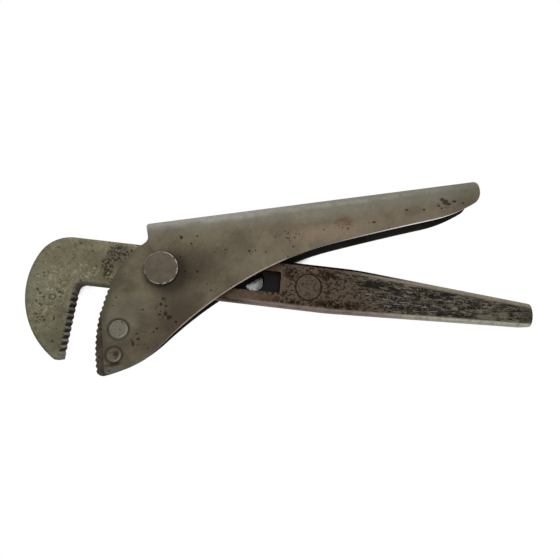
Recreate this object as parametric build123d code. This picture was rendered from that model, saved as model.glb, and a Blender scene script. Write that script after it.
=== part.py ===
import os
from math import cos, degrees, radians, sin, tan

from build123d import *

# A plumber's two-handled pipe wrench, lying on its side.
# X runs along the back of the outer handle, Y points out of that back, Z runs through the thickness.
# Everything is drawn about the pivot pin and moved at the end, so that the box's bottom centre is the origin.

# Thickness of the stack, from the bed of the tool upwards
SHEET = 3.0                 # pressed sheet of the outer handle
BAR_THICKNESS = 9.3         # forged bar of the inner handle
SIDE_GAP = 0.35             # running gap between the bar and each cheek

# Inner handle: a bar with a row of pin holes, a hook jaw in front and a tapered tail
HOLE_COUNT = 4              # places for the pin, for four pipe sizes
HOLE_PITCH = 13.24
BAR_ABOVE = 9.75            # row of holes up to the bar's top edge
BAR_BELOW = 11.1            # row of holes down to the bar's bottom edge, at its deepest
NECK_BELOW = 9.2            # the same at the hook's neck
DEEPEST_AT = 75.0           # pivot to the deepest place of the bottom edge
TAPER_AT = 86.0             # pivot to the start of the tail's taper
TAIL_LENGTH = 177.0         # pivot to the end of the tail
TAIL_ABOVE = 2.85
TAIL_BELOW = 8.5
TAIL_CROWN = 1.4            # the tail's end bulges by this much
TAPER_RADIUS = 160.0        # soft turns where the tail starts to taper
TAIL_CORNER = 2.0
BAR_EDGE = 1.3              # rounding along the bar's edges

RECESS_HEIGHT = 9.5         # milled pocket along the holes, on both faces
RECESS_DEPTH = 2.6
RECESS_OVERRUN = 11.5       # pocket's length past the first and last holes
RECESS_CORNER = 0.8

STRUCK_RING = 5.9           # radius of the empty ring struck into the near face for a size mark
STRUCK_AT = (64.1, -0.8)    # its centre, from the pivot along and across the row of holes
STRUCK_WIDTH = 0.5
STRUCK_DEPTH = 0.12

# Hook jaw, measured back from its line of tooth tips and down from the bar's top edge
HOOK_DEPTH = 40.8           # row of holes down to the hook's tip
HOOK_LEAN = 3.2             # degrees, tooth face against square to the bar
HOOK_INNER_RADIUS = 2.9     # round corner between neck and teeth
HOOK_CROWN_BACK = 2.95      # where the top edge starts to round over
HOOK_SHOULDER_BACK = 15.4
HOOK_SHOULDER_DROP = 7.8
HOOK_SIDE_BACK = 18.4       # a place on the hook's round outer side
HOOK_SIDE_DROP = 18.4
HOOK_TIP_FLAT = 1.8         # hook's flat tip, behind the line of tooth tips
HOOK_TIP_EDGE = 1.5         # rounding at the back of the flat
HOOK_TOOTH_PITCH = 2.6
HOOK_TOOTH_LAND = 0.4       # flat left on each tooth tip
HOOK_TOOTH_DEPTH = 0.7
HOOK_TOOTH_TOP = 13.2       # row of holes down to the first tooth
HOOK_TIP_LAND = 3.5         # hook's tip up to the middle of the first gap between teeth
CLOSED_MOUTH = 2.43         # gap left between the jaws when the bar lies along the outer handle

# Outer handle: a folded channel whose two cheeks carry the convex jaw
BACK_ROOM = 7.95            # bar's top edge up to the inside of the back
BEND_RADIUS = 4.5           # outside of the folds
BACK_FRONT = 3.4            # pivot forward to the front end of the back
FRONT_FILLET = 3.0          # inside corner under the front end of the back
FRONT_RADIUS = 36.0         # cheek's rounded front, from the back down to the teeth
FRONT_START = 2.7           # where it starts, above the level of the bar's top edge
GRIP_LENGTH = 154.5         # pivot to the free end of the grip
GRIP_END_STRAIGHT = 4.3     # straight part of the grip's end below its back
GRIP_CORNER = 1.6
BACK_CORNER = 2.0           # front end of the back
GRIP_HEEL = (149.8, 9.0)    # lower edge of the cheeks, from the grip's end to the jaw
GRIP_MIDDLE = (128.0, 4.3)
GRIP_ROOT = (79.0, 0.45)
GRIP_ROOT_SLOPE = 5.4       # degrees
FAR_CHEEK_DROP = 1.6        # the far cheek is cut this much deeper along the grip
BELLY_START = (-4.0, -30.9)
JAW_TOE = (-27.75, -39.5)
TOE_CORNER = 1.8

# Convex jaw: teeth on an arc, the first ones cut in the cheeks and the rest on the insert between them
JAW_FRONT = -30.3           # pivot forward to the arc's foremost place
JAW_LEVEL = -37.5           # pivot down to the same place
JAW_RADIUS = 66.4
INSERT_PROUD = 1.0          # insert's teeth stand this far in front of the cheeks' arc
JAW_TOOTH_PITCH = 2.335
JAW_TOOTH_DEPTH = 0.55
FIRST_TOOTH_ARC = 32.83     # first tooth's tip, along the arc from its foremost place
FRONT_LEAD = 0.65           # cheek's front meets the arc this far before it, in tooth steps
CHEEK_TEETH = 4
INSERT_TEETH = 11
INSERT_GAP = 2.1            # bar's bottom edge to the insert's top, when they lie parallel
INSERT_BACK = 13.0          # pivot forward to the insert's rear face
INSERT_TOE = 3.0            # rounding at the insert's toe
INSERT_FIT = 0.03           # clearance between the insert and each cheek

# Jaw rivets: place along the arc, depth behind the teeth, head and shank diameters
UPPER_RIVET_ARC = 17.9
UPPER_RIVET_INSET = 9.1
UPPER_RIVET_HEAD = 8.0
UPPER_RIVET_SHANK = 5.2
LOWER_RIVET_ARC = 6.26
LOWER_RIVET_INSET = 7.9
LOWER_RIVET_HEAD = 6.2
LOWER_RIVET_SHANK = 4.4
RIVET_SINK = 1.9            # depth of a countersunk head
RIVET_FIT = 0.04            # clearance round the rivets
RIVET_RIM = 0.25            # bevel round a rivet's visible end
LOWER_RIVET_PROUD = 0.3     # the lower rivet stands out of the near cheek
RIVET_DISH = 0.22           # and its end is dished by this much

# Pivot pin, pushed through the cheeks and one hole of the bar, with a spring ring that holds it in
PIN_DIAMETER = 9.0
PIN_CLEARANCE = 0.08        # running clearance all round
PIN_HEAD = 13.8
PIN_HEAD_HEIGHT = 2.0
PIN_HEAD_BEVEL = 0.45
PIN_END_SHORT = 0.3         # the pin's end stays inside the far cheek by this much
PIN_END_BEVEL = 0.6
RING_WIRE = 1.0             # spring ring's width
RING_THICKNESS = 0.8
RING_FIT = 0.05             # clearance of the ring in its groove and in the bores
RING_SPLIT = 1.6            # gap between the ring's ends

# How far the handles stand apart in this pose
HANDLE_SPREAD = 15.33       # degrees, row of holes against the back of the outer handle

# Derived sizes
CHANNEL_INSIDE = BAR_THICKNESS + 2 * SIDE_GAP
CHANNEL_WIDTH = CHANNEL_INSIDE + 2 * SHEET
BAR_BED = SHEET + SIDE_GAP
BACK_INSIDE = BAR_ABOVE + BACK_ROOM
BACK_OUTSIDE = BACK_INSIDE + SHEET
PIN_BORE = PIN_DIAMETER / 2 + PIN_CLEARANCE
INSERT_RADIUS = JAW_RADIUS + INSERT_PROUD
JAW_CENTRE = (JAW_FRONT + JAW_RADIUS, JAW_LEVEL)
HOOK_FACE = JAW_FRONT - INSERT_PROUD - CLOSED_MOUTH
TOOTH_STEP = degrees(JAW_TOOTH_PITCH / JAW_RADIUS)
FIRST_TOOTH = 180 - degrees(FIRST_TOOTH_ARC / JAW_RADIUS)
INSERT_TOP = -(BAR_BELOW + INSERT_GAP)
REACH = 4 * BACK_OUTSIDE    # longer than any piece that it trims


def jaw_point(radius, angle):
    """Point at a distance and direction from the centre of the convex jaw's arc."""
    return (JAW_CENTRE[0] + radius * cos(radians(angle)), JAW_CENTRE[1] + radius * sin(radians(angle)))


def slope(angle):
    """Unit direction at an angle to X."""
    return (cos(radians(angle)), sin(radians(angle)))


def corner(face, place):
    """The face's corner next to a place."""
    return face.vertices().sort_by_distance(Vector(*place))[0]


def tooth_gap(radius, angle):
    """V-shaped gap between two teeth of the convex jaw."""
    half = TOOTH_STEP / 2
    left = jaw_point(radius, angle - half)
    right = jaw_point(radius, angle + half)
    outside = jaw_point(radius + JAW_TOOTH_DEPTH, angle)
    return make_face(Polyline(jaw_point(radius - JAW_TOOTH_DEPTH, angle), left, outside, right, close=True))


def tooth_gaps(radius, first, count):
    """A row of gaps, one before each tooth and one after the last."""
    start = FIRST_TOOTH + (first - 0.5) * TOOTH_STEP
    return [tooth_gap(radius, start + i * TOOTH_STEP) for i in range(count + 1)]


def lowered(place, drop):
    return (place[0], place[1] - drop)


def belly_arcs(drop=0.0):
    """Lower edge of a cheek: the throat's hollow arc, then the jaw's round belly."""
    back = slope(GRIP_ROOT_SLOPE + 180)
    throat = TangentArc(lowered(GRIP_ROOT, drop), BELLY_START, tangent=back)
    belly = TangentArc(BELLY_START, JAW_TOE, tangent=throat % 1)
    return throat, belly


def cheek_outline(drop):
    """Side view of the outer handle, with its grip's lower edge dropped by an amount."""
    throat, belly = belly_arcs(drop)
    root, middle, heel_end = [lowered(place, drop) for place in (GRIP_ROOT, GRIP_MIDDLE, GRIP_HEEL)]
    grip = TangentArc(root, middle, tangent=slope(GRIP_ROOT_SLOPE))
    heel = TangentArc(middle, heel_end, tangent=grip % 1)
    end_top = (GRIP_LENGTH, BACK_OUTSIDE)
    end_low = (GRIP_LENGTH, BACK_OUTSIDE - GRIP_END_STRAIGHT)
    end = TangentArc(heel_end, end_low, tangent=heel % 1)
    back_front = (-BACK_FRONT, BACK_OUTSIDE)
    last_gap = FIRST_TOOTH + (CHEEK_TEETH - 0.5) * TOOTH_STEP
    teeth_top = jaw_point(JAW_RADIUS, FIRST_TOOTH - FRONT_LEAD * TOOTH_STEP)
    teeth_end = jaw_point(JAW_RADIUS, last_gap)
    teeth_middle = jaw_point(JAW_RADIUS, (FIRST_TOOTH + last_gap) / 2)
    front_corner = (-BACK_FRONT, BAR_ABOVE + FRONT_START)
    face = make_face([
        grip, heel, end,
        Line(end_low, end_top),
        Line(end_top, back_front),
        Line(back_front, front_corner),
        RadiusArc(front_corner, teeth_top, -FRONT_RADIUS),
        ThreePointArc(teeth_top, teeth_middle, teeth_end),
        Line(teeth_end, JAW_TOE),
        belly, throat,
    ])
    rounded = (
        (end_top, GRIP_CORNER), (back_front, BACK_CORNER),
        (front_corner, FRONT_FILLET), (JAW_TOE, TOE_CORNER),
    )
    for place, radius in rounded:
        face = fillet(corner(face, place), radius)
    return face - tooth_gaps(JAW_RADIUS, 0, CHEEK_TEETH)


def channel_section():
    """Folded sheet, looking along the handle: a back with a cheek on each side."""
    height = BACK_OUTSIDE + REACH
    outside = Pos(BACK_OUTSIDE - height / 2, CHANNEL_WIDTH / 2) * Rectangle(height, CHANNEL_WIDTH)
    inside = Pos(BACK_INSIDE - height / 2, CHANNEL_WIDTH / 2) * Rectangle(height, CHANNEL_INSIDE)
    outside = fillet(outside.vertices().group_by(Axis.X)[-1], BEND_RADIUS)
    inside = fillet(inside.vertices().group_by(Axis.X)[-1], BEND_RADIUS - SHEET)
    return outside - inside


def rivet_places():
    """Centre, head and shank diameters of the two jaw rivets."""
    upper = jaw_point(INSERT_RADIUS - UPPER_RIVET_INSET, 180 - degrees(UPPER_RIVET_ARC / JAW_RADIUS))
    lower = jaw_point(INSERT_RADIUS - LOWER_RIVET_INSET, 180 - degrees(LOWER_RIVET_ARC / JAW_RADIUS))
    return ((upper, UPPER_RIVET_HEAD, UPPER_RIVET_SHANK), (lower, LOWER_RIVET_HEAD, LOWER_RIVET_SHANK))


def upright(radius, low, high):
    """Round bar along Z between two heights."""
    return Pos(0, 0, low) * Cylinder(radius, high - low, align=(Align.CENTER, Align.CENTER, Align.MIN))


def rivet_form(head, shank):
    """Round bar with a countersunk head in each cheek, flush with both."""
    top = CHANNEL_WIDTH
    profile = Polyline(
        (0, 0), (head / 2, 0), (shank / 2, RIVET_SINK),
        (shank / 2, top - RIVET_SINK), (head / 2, top), (0, top), close=True,
    )
    return revolve(Plane.XZ * make_face(profile), Axis.Z)


def near_rim(form):
    """The edge round a piece's near end."""
    return form.edges().filter_by(GeomType.CIRCLE).sort_by(Axis.Z)[-1]


def outer_handle():
    along_x = Plane(origin=(-REACH, 0, 0), x_dir=(0, 1, 0), z_dir=(1, 0, 0))
    folded = extrude(along_x * channel_section(), GRIP_LENGTH + 2 * REACH)
    half = CHANNEL_WIDTH / 2
    sides = extrude(cheek_outline(FAR_CHEEK_DROP), half) + Pos(0, 0, half) * extrude(cheek_outline(0.0), half)
    handle = folded & sides
    handle -= upright(PIN_BORE, 0, CHANNEL_WIDTH)
    for place, head, shank in rivet_places():
        handle -= Pos(*place) * rivet_form(head + 2 * RIVET_FIT, shank + 2 * RIVET_FIT)
    return handle


def jaw_insert():
    """Toothed block riveted between the cheeks, clear of the bar's neck when the handles close."""
    belly = belly_arcs()[1]
    front = 2 * INSERT_RADIUS
    block = Pos(-INSERT_BACK - front / 2, INSERT_TOP - front / 2) * Rectangle(front, front)
    face = block & (Pos(*JAW_CENTRE) * Circle(INSERT_RADIUS))
    face = face & (Pos(belly.arc_center.X, belly.arc_center.Y) * Circle(belly.radius))
    toe = face.vertices().sort_by(Axis.Y)[0:2].sort_by(Axis.X)[0]
    face = fillet(toe, INSERT_TOE)
    face -= tooth_gaps(INSERT_RADIUS, CHEEK_TEETH, INSERT_TEETH)
    low = SHEET + INSERT_FIT
    block = Pos(0, 0, low) * extrude(face, CHANNEL_INSIDE - 2 * INSERT_FIT)
    for place, _, shank in rivet_places():
        block -= Pos(*place) * upright(shank / 2 + RIVET_FIT, 0, CHANNEL_WIDTH)
    return block


def upper_jaw_rivet():
    place, head, shank = rivet_places()[0]
    form = rivet_form(head, shank)
    return Pos(*place) * chamfer(near_rim(form), RIVET_RIM)


def lower_jaw_rivet():
    """Set a little proud, with its end dished by the hammer."""
    place, head, shank = rivet_places()[1]
    end = CHANNEL_WIDTH + LOWER_RIVET_PROUD
    form = rivet_form(head, shank) + upright(head / 2, CHANNEL_WIDTH, end)
    form = chamfer(near_rim(form), RIVET_RIM)
    dish_width = head / 2 - RIVET_RIM
    dish_radius = (dish_width ** 2 + RIVET_DISH ** 2) / (2 * RIVET_DISH)
    return Pos(*place) * (form - Pos(0, 0, end - RIVET_DISH + dish_radius) * Sphere(dish_radius))


def hook_face(depth):
    """Place on the hook's line of tooth tips, at a depth below the row of holes."""
    lean = tan(radians(HOOK_LEAN)) * (depth - HOOK_TOOTH_TOP)
    return (HOOK_FACE - lean, -depth)


def bar_outline():
    """Side view of the inner handle without its teeth, with the row of holes along X."""
    crown = (HOOK_FACE - HOOK_CROWN_BACK, BAR_ABOVE)
    shoulder = (HOOK_FACE - HOOK_SHOULDER_BACK, BAR_ABOVE - HOOK_SHOULDER_DROP)
    side_place = (HOOK_FACE - HOOK_SIDE_BACK, BAR_ABOVE - HOOK_SIDE_DROP)
    tip = hook_face(HOOK_DEPTH)
    tip_back = (tip[0] - HOOK_TIP_FLAT, tip[1])
    inner = hook_face(NECK_BELOW)
    deepest = (DEEPEST_AT, -BAR_BELOW)
    tail_low = (TAIL_LENGTH - TAIL_CROWN, -TAIL_BELOW)
    tail_end = (TAIL_LENGTH, (TAIL_ABOVE - TAIL_BELOW) / 2)
    tail_top = (TAIL_LENGTH - TAIL_CROWN, TAIL_ABOVE)
    taper = (TAPER_AT, BAR_ABOVE)
    over = TangentArc(crown, shoulder, tangent=(-1, 0))
    side = TangentArc(shoulder, side_place, tangent=over % 1)
    under = TangentArc(side_place, tip_back, tangent=side % 1)
    face = make_face([
        over, side, under,
        Line(tip_back, tip),
        Line(tip, inner),
        Line(inner, deepest),
        Line(deepest, tail_low),
        ThreePointArc(tail_low, tail_end, tail_top),
        Line(tail_top, taper),
        Line(taper, crown),
    ])
    rounded = (
        (tip_back, HOOK_TIP_EDGE), (inner, HOOK_INNER_RADIUS), (deepest, TAPER_RADIUS),
        (tail_low, TAIL_CORNER), (tail_top, TAIL_CORNER), (taper, TAPER_RADIUS),
    )
    for place, radius in rounded:
        face = fillet(corner(face, place), radius)
    return face


def hook_gaps():
    """V-shaped gaps across the hook's inner face, from its tip upwards."""
    half = (HOOK_TOOTH_PITCH - HOOK_TOOTH_LAND) / 2
    first = HOOK_DEPTH - HOOK_TIP_LAND
    gaps = []
    for i in range(int((first - HOOK_TOOTH_TOP) / HOOK_TOOTH_PITCH) + 1):
        depth = first - i * HOOK_TOOTH_PITCH
        across, down = hook_face(depth)
        bottom, outside = (across - HOOK_TOOTH_DEPTH, down), (across + HOOK_TOOTH_DEPTH, down)
        gap = make_face(Polyline(bottom, hook_face(depth + half), outside, hook_face(depth - half), close=True))
        gaps.append(Pos(0, 0, BAR_BED) * extrude(gap, BAR_THICKNESS))
    return gaps


def recess(low):
    """Pocket along the row of holes, milled into one face of the bar."""
    row = (HOLE_COUNT - 1) * HOLE_PITCH
    outline = RectangleRounded(row + 2 * RECESS_OVERRUN, RECESS_HEIGHT, RECESS_CORNER)
    return Pos(row / 2, 0, low) * extrude(outline, RECESS_DEPTH)


def struck_ring():
    outline = Circle(STRUCK_RING + STRUCK_WIDTH / 2) - Circle(STRUCK_RING - STRUCK_WIDTH / 2)
    return Pos(*STRUCK_AT, BAR_BED + BAR_THICKNESS - STRUCK_DEPTH) * extrude(outline, STRUCK_DEPTH)


def inner_handle():
    bar = Pos(0, 0, BAR_BED) * extrude(bar_outline(), BAR_THICKNESS)
    flats = bar.faces().filter_by(Axis.Z)
    bar = fillet(flats.edges(), BAR_EDGE)
    bar -= hook_gaps()
    bar -= recess(BAR_BED)
    bar -= recess(BAR_BED + BAR_THICKNESS - RECESS_DEPTH)
    bar -= struck_ring()
    for i in range(HOLE_COUNT):
        bar -= Pos(i * HOLE_PITCH, 0) * upright(PIN_BORE, 0, CHANNEL_WIDTH)
    return Rot(0, 0, -HANDLE_SPREAD) * bar


def ring_groove():
    """Inner radius of the spring ring's groove, and the ring's lower and upper faces."""
    middle = SHEET / 2
    inner = PIN_BORE - RING_FIT - RING_THICKNESS
    return inner, middle - RING_WIRE / 2, middle + RING_WIRE / 2


def pivot_pin():
    shank = upright(PIN_DIAMETER / 2, PIN_END_SHORT, CHANNEL_WIDTH)
    shank = chamfer(shank.edges().group_by(Axis.Z)[0], PIN_END_BEVEL)
    head = upright(PIN_HEAD / 2, CHANNEL_WIDTH, CHANNEL_WIDTH + PIN_HEAD_HEIGHT)
    head = chamfer(head.edges().group_by(Axis.Z)[-1], PIN_HEAD_BEVEL)
    inner, low, high = ring_groove()
    groove = upright(PIN_DIAMETER, low - RING_FIT, high + RING_FIT)
    groove -= upright(inner - RING_FIT, low - RING_WIRE, high + RING_WIRE)
    return shank + head - groove


def pin_spring_ring():
    """Split ring in the pin's groove, gripping the far cheek's bore."""
    inner, low, high = ring_groove()
    ring = upright(inner + RING_THICKNESS, low, high) - upright(inner, low, high)
    return ring - Pos(inner, 0, (low + high) / 2) * Box(2 * RING_THICKNESS + PIN_CLEARANCE, RING_SPLIT, SHEET)


def main():
    pieces = {
        "outer_handle": outer_handle(),
        "jaw_insert": jaw_insert(),
        "upper_jaw_rivet": upper_jaw_rivet(),
        "lower_jaw_rivet": lower_jaw_rivet(),
        "inner_handle": inner_handle(),
        "pivot_pin": pivot_pin(),
        "pin_spring_ring": pin_spring_ring(),
    }
    box = Compound(list(pieces.values())).bounding_box()
    to_origin = Pos(-box.center().X, -box.center().Y, -box.min.Z)
    os.makedirs("parts", exist_ok=True)
    for name, piece in pieces.items():
        export_step(to_origin * piece, f"parts/{name}.step")
    print("pivot", to_origin.position, "size", box.size)


main()
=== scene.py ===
import math

import bpy
from mathutils import Matrix, Vector

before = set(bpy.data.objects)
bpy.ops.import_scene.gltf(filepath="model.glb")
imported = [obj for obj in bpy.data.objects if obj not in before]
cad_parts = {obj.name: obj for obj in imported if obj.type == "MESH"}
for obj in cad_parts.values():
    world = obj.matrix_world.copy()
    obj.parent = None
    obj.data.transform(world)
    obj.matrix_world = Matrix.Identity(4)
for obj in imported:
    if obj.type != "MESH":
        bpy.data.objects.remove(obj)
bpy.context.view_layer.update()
print("stage: frame loaded")

# Places are in millimetres about the pivot pin: along the outer handle for the cheeks,
# and along the row of holes for the bar. Colours are written as a screen shows them.
# A pair of numbers is where a mark starts and where it is full, and two more are its strengths there.
layout = {
    "pivot": (-57.7561, 16.8411),
    "handleSpread": 15.33,  # degrees between the outer handle and the bar
    "viewTurn": -10.41,  # degrees from the view's own axes to the outer handle's
    "middle": 8.0,  # height of the plane that halves the tool
    "perMetre": 1000.0,
    "facingUp": (0.5, 0.9),
    "specular": 0.0,  # a dull skin: the shine comes from bare metal alone
    "bumpStrength": 0.8,
}


def tone(color):
    # a screen colour as linear light
    return tuple(c / 255 / 12.92 if c < 10.3 else ((c / 255 + 0.055) / 1.055) ** 2.4 for c in color)


class Sheet:
    def __init__(self, tree):
        self.tree = tree

    def connect(self, socket, value):
        if isinstance(value, bpy.types.NodeSocket):
            self.tree.links.new(value, socket)
        elif socket.type == "RGBA":
            socket.default_value = (*value, 1.0)
        else:
            socket.default_value = value

    def add(self, kind, inputs=None, **settings):
        node = self.tree.nodes.new("ShaderNode" + kind)
        for name, value in settings.items():
            setattr(node, name, value)
        for name, value in (inputs or {}).items():
            self.connect(node.inputs[name], value)
        return node

    def use(self, group, **inputs):
        node = self.tree.nodes.new("ShaderNodeGroup")
        node.node_tree = group
        for name, value in inputs.items():
            self.connect(node.inputs[name], value)
        return node.outputs[0]

    def math(self, operation, a, b=0.0, clamp=False):
        return self.add("Math", {0: a, 1: b}, operation=operation, use_clamp=clamp).outputs[0]

    def times(self, value, *others):
        for other in others:
            value = self.math("MULTIPLY", value, other)
        return value

    def most(self, value, *others):
        for other in others:
            value = self.math("MAXIMUM", value, other)
        return value

    def less(self, a, b):
        return self.math("SUBTRACT", a, b)

    def gap(self, a, b):
        return self.math("ABSOLUTE", self.less(a, b))

    def ramp(self, value, low, high, first=0.0, last=1.0):
        inputs = {"Value": value, "From Min": low, "From Max": high, "To Min": first, "To Max": last}
        return self.add("MapRange", inputs, interpolation_type="SMOOTHSTEP").outputs[0]

    def between(self, mask, first, last):
        return self.ramp(mask, 0.0, 1.0, first, last)

    def mix(self, factor, a, b, blend="MIX"):
        node = self.add("Mix", data_type="RGBA", blend_type=blend)
        for index, value in ((0, factor), (6, a), (7, b)):
            self.connect(node.inputs[index], value)
        return node.outputs[2]

    def noise(self, vector, scale, detail=4.0, roughness=0.6):
        inputs = {"Vector": vector, "Scale": scale, "Detail": detail, "Roughness": roughness}
        return self.add("TexNoise", inputs).outputs

    def vector(self, operation, a, b):
        return self.add("VectorMath", {0: a, 1: b}, operation=operation).outputs[0]

    def reach(self, offset):
        # length of an offset in plan
        flat = self.vector("MULTIPLY", offset, (1, 1, 0))
        return self.add("VectorMath", {0: flat}, operation="LENGTH").outputs["Value"]

    def away(self, place, center):
        return self.reach(self.vector("SUBTRACT", place, (*center, 0)))

    def split(self, vector):
        return self.add("SeparateXYZ", {0: vector}).outputs


patterns = {
    "pitWobble": (1.3, 3.0),  # scale and detail of what takes the pits off round
    "pitWobbleReach": 0.9,
    "pitSmallest": 0.35,  # of the largest
    "pitCore": 0.5,
    "mottleNoise": (6.0, 0.62),  # detail and roughness
    "streakNoise": (5.0, 0.68),
    "patchNoise": (5.0, 0.65),
    "patchEdge": {"Ragged": 0.7, "Grain": 0.12, "Soft": 0.85},
    "grainNoise": (3.0, 0.7),
    "grainRange": (0.3, 0.7),
}


def newGroup(name, inputs):
    tree = bpy.data.node_groups.new(name, "ShaderNodeTree")
    tree.interface.new_socket("Vector", in_out="INPUT", socket_type="NodeSocketVector")
    for label, kind, value in inputs:
        socket = tree.interface.new_socket(label, in_out="INPUT", socket_type="NodeSocket" + kind)
        socket.default_value = value
    tree.interface.new_socket("Mask", in_out="OUTPUT", socket_type="NodeSocketFloat")
    source = tree.nodes.new("NodeGroupInput").outputs
    target = tree.nodes.new("NodeGroupOutput").inputs[0]
    return tree, Sheet(tree), source, target


def pitGroup():
    inputs = [("Cell", "Float", 2.0), ("Size", "Float", 0.3), ("Amount", "Float", 0.3)]
    tree, sheet, source, target = newGroup("pitSpots", inputs)
    cloud = sheet.noise(source["Vector"], *patterns["pitWobble"])["Color"]
    wander = sheet.vector("SUBTRACT", cloud, (0.5, 0.5, 0.5))
    wander = sheet.add("VectorMath", {0: wander, "Scale": patterns["pitWobbleReach"]}, operation="SCALE")
    place = sheet.vector("ADD", source["Vector"], wander.outputs[0])
    inputs = {"Vector": place, "Scale": sheet.math("DIVIDE", 1.0, source["Cell"])}
    cell = sheet.add("TexVoronoi", inputs, voronoi_dimensions="2D").outputs
    lot = sheet.add("SeparateColor", {0: cell["Color"]}).outputs
    size = sheet.times(source["Size"], sheet.between(lot[0], patterns["pitSmallest"], 1.0))
    spot = sheet.ramp(cell["Distance"], size, sheet.times(size, patterns["pitCore"]))
    kept = sheet.math("LESS_THAN", lot[1], source["Amount"])
    sheet.connect(target, sheet.times(spot, kept))
    return tree


def mottleGroup():
    inputs = [("Size", "Float", 10.0), ("Low", "Float", 0.4), ("High", "Float", 0.6)]
    tree, sheet, source, target = newGroup("mottle", inputs)
    scale = sheet.math("DIVIDE", 1.0, source["Size"])
    cloud = sheet.noise(source["Vector"], scale, *patterns["mottleNoise"])["Fac"]
    sheet.connect(target, sheet.ramp(cloud, source["Low"], source["High"]))
    return tree


def streakGroup():
    inputs = [
        ("Length", "Float", 6.0),
        ("Width", "Float", 1.0),
        ("Low", "Float", 0.45),
        ("High", "Float", 0.6),
    ]
    tree, sheet, source, target = newGroup("streaks", inputs)
    axes = sheet.split(source["Vector"])
    along = sheet.math("DIVIDE", axes[0], source["Length"])
    across = sheet.math("DIVIDE", axes[1], source["Width"])
    place = sheet.add("CombineXYZ", {0: along, 1: across, 2: axes[2]}).outputs[0]
    cloud = sheet.noise(place, 1.0, *patterns["streakNoise"])["Fac"]
    sheet.connect(target, sheet.ramp(cloud, source["Low"], source["High"]))
    return tree


def patchGroup():
    inputs = [
        ("Center", "Vector", (0, 0, 0)),
        ("Radius", "Vector", (1, 1, 1)),
        ("Ragged", "Float", 0.5),
        ("Grain", "Float", 0.3),
        ("Soft", "Float", 0.8),
    ]
    tree, sheet, source, target = newGroup("patch", inputs)
    offset = sheet.vector("SUBTRACT", source["Vector"], source["Center"])
    reach = sheet.reach(sheet.vector("DIVIDE", offset, source["Radius"]))
    cloud = sheet.noise(source["Vector"], source["Grain"], *patterns["patchNoise"])["Fac"]
    wander = sheet.times(sheet.less(cloud, 0.5), source["Ragged"])
    edge = sheet.less(1.0, source["Soft"])
    sheet.connect(target, sheet.ramp(sheet.math("ADD", reach, wander), 1.0, edge))
    return tree


pitSpots = pitGroup()
mottle = mottleGroup()
streaks = streakGroup()
patch = patchGroup()


def partPlace(sheet, turn=0.0):
    # coordinates in millimetres about the pivot, turned with the piece
    turn = math.radians(turn)
    back = Matrix.Rotation(turn, 3, "Z") @ Vector((-layout["pivot"][0], -layout["pivot"][1], 0))
    source = sheet.add("TexCoord").outputs
    mapped = {
        "Vector": source["Object"],
        "Location": back,
        "Rotation": (0, 0, turn),
        "Scale": (layout["perMetre"],) * 3,
    }
    return sheet.add("Mapping", mapped).outputs[0], sheet.split(source["Normal"]), source["Normal"]


def newMaterial(name):
    material = bpy.data.materials.new(name)
    material.use_nodes = True
    material.node_tree.nodes.clear()
    return material, Sheet(material.node_tree)


def surface(sheet, color, roughness, metallic, height, depth):
    inputs = {"Base Color": color, "Roughness": roughness, "Metallic": metallic}
    shader = sheet.add("BsdfPrincipled", inputs)
    shader.inputs["Specular IOR Level"].default_value = layout["specular"]
    distance = depth / layout["perMetre"]
    bump = sheet.add("Bump", {"Height": height, "Distance": distance, "Strength": layout["bumpStrength"]})
    sheet.connect(shader.inputs["Normal"], bump.outputs[0])
    sheet.connect(sheet.add("OutputMaterial").inputs[0], shader.outputs[0])


def patchMask(sheet, place, center, radius, edge):
    inputs = {"Vector": place, "Center": (*center, 0), "Radius": (*radius, 1)}
    return sheet.use(patch, **inputs, **edge)


def spotMask(sheet, place, spots, edge):
    return sheet.most(*[patchMask(sheet, place, center, radius, edge) for center, radius in spots])


def patchwork(sheet, place, color, patches):
    for center, radius, shade, amount in patches:
        mask = patchMask(sheet, place, center, radius, patterns["patchEdge"])
        color = sheet.mix(sheet.times(mask, amount), color, tone(shade))
    return color


def grain(sheet, place, color, size, amount):
    cloud = sheet.noise(place, 1 / size, *patterns["grainNoise"])["Fac"]
    light = sheet.ramp(cloud, *patterns["grainRange"], 1 - amount, 1 + amount)
    shade = sheet.add("CombineColor", {0: light, 1: light, 2: light}).outputs[0]
    return sheet.mix(1.0, color, shade, "MULTIPLY")


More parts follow.
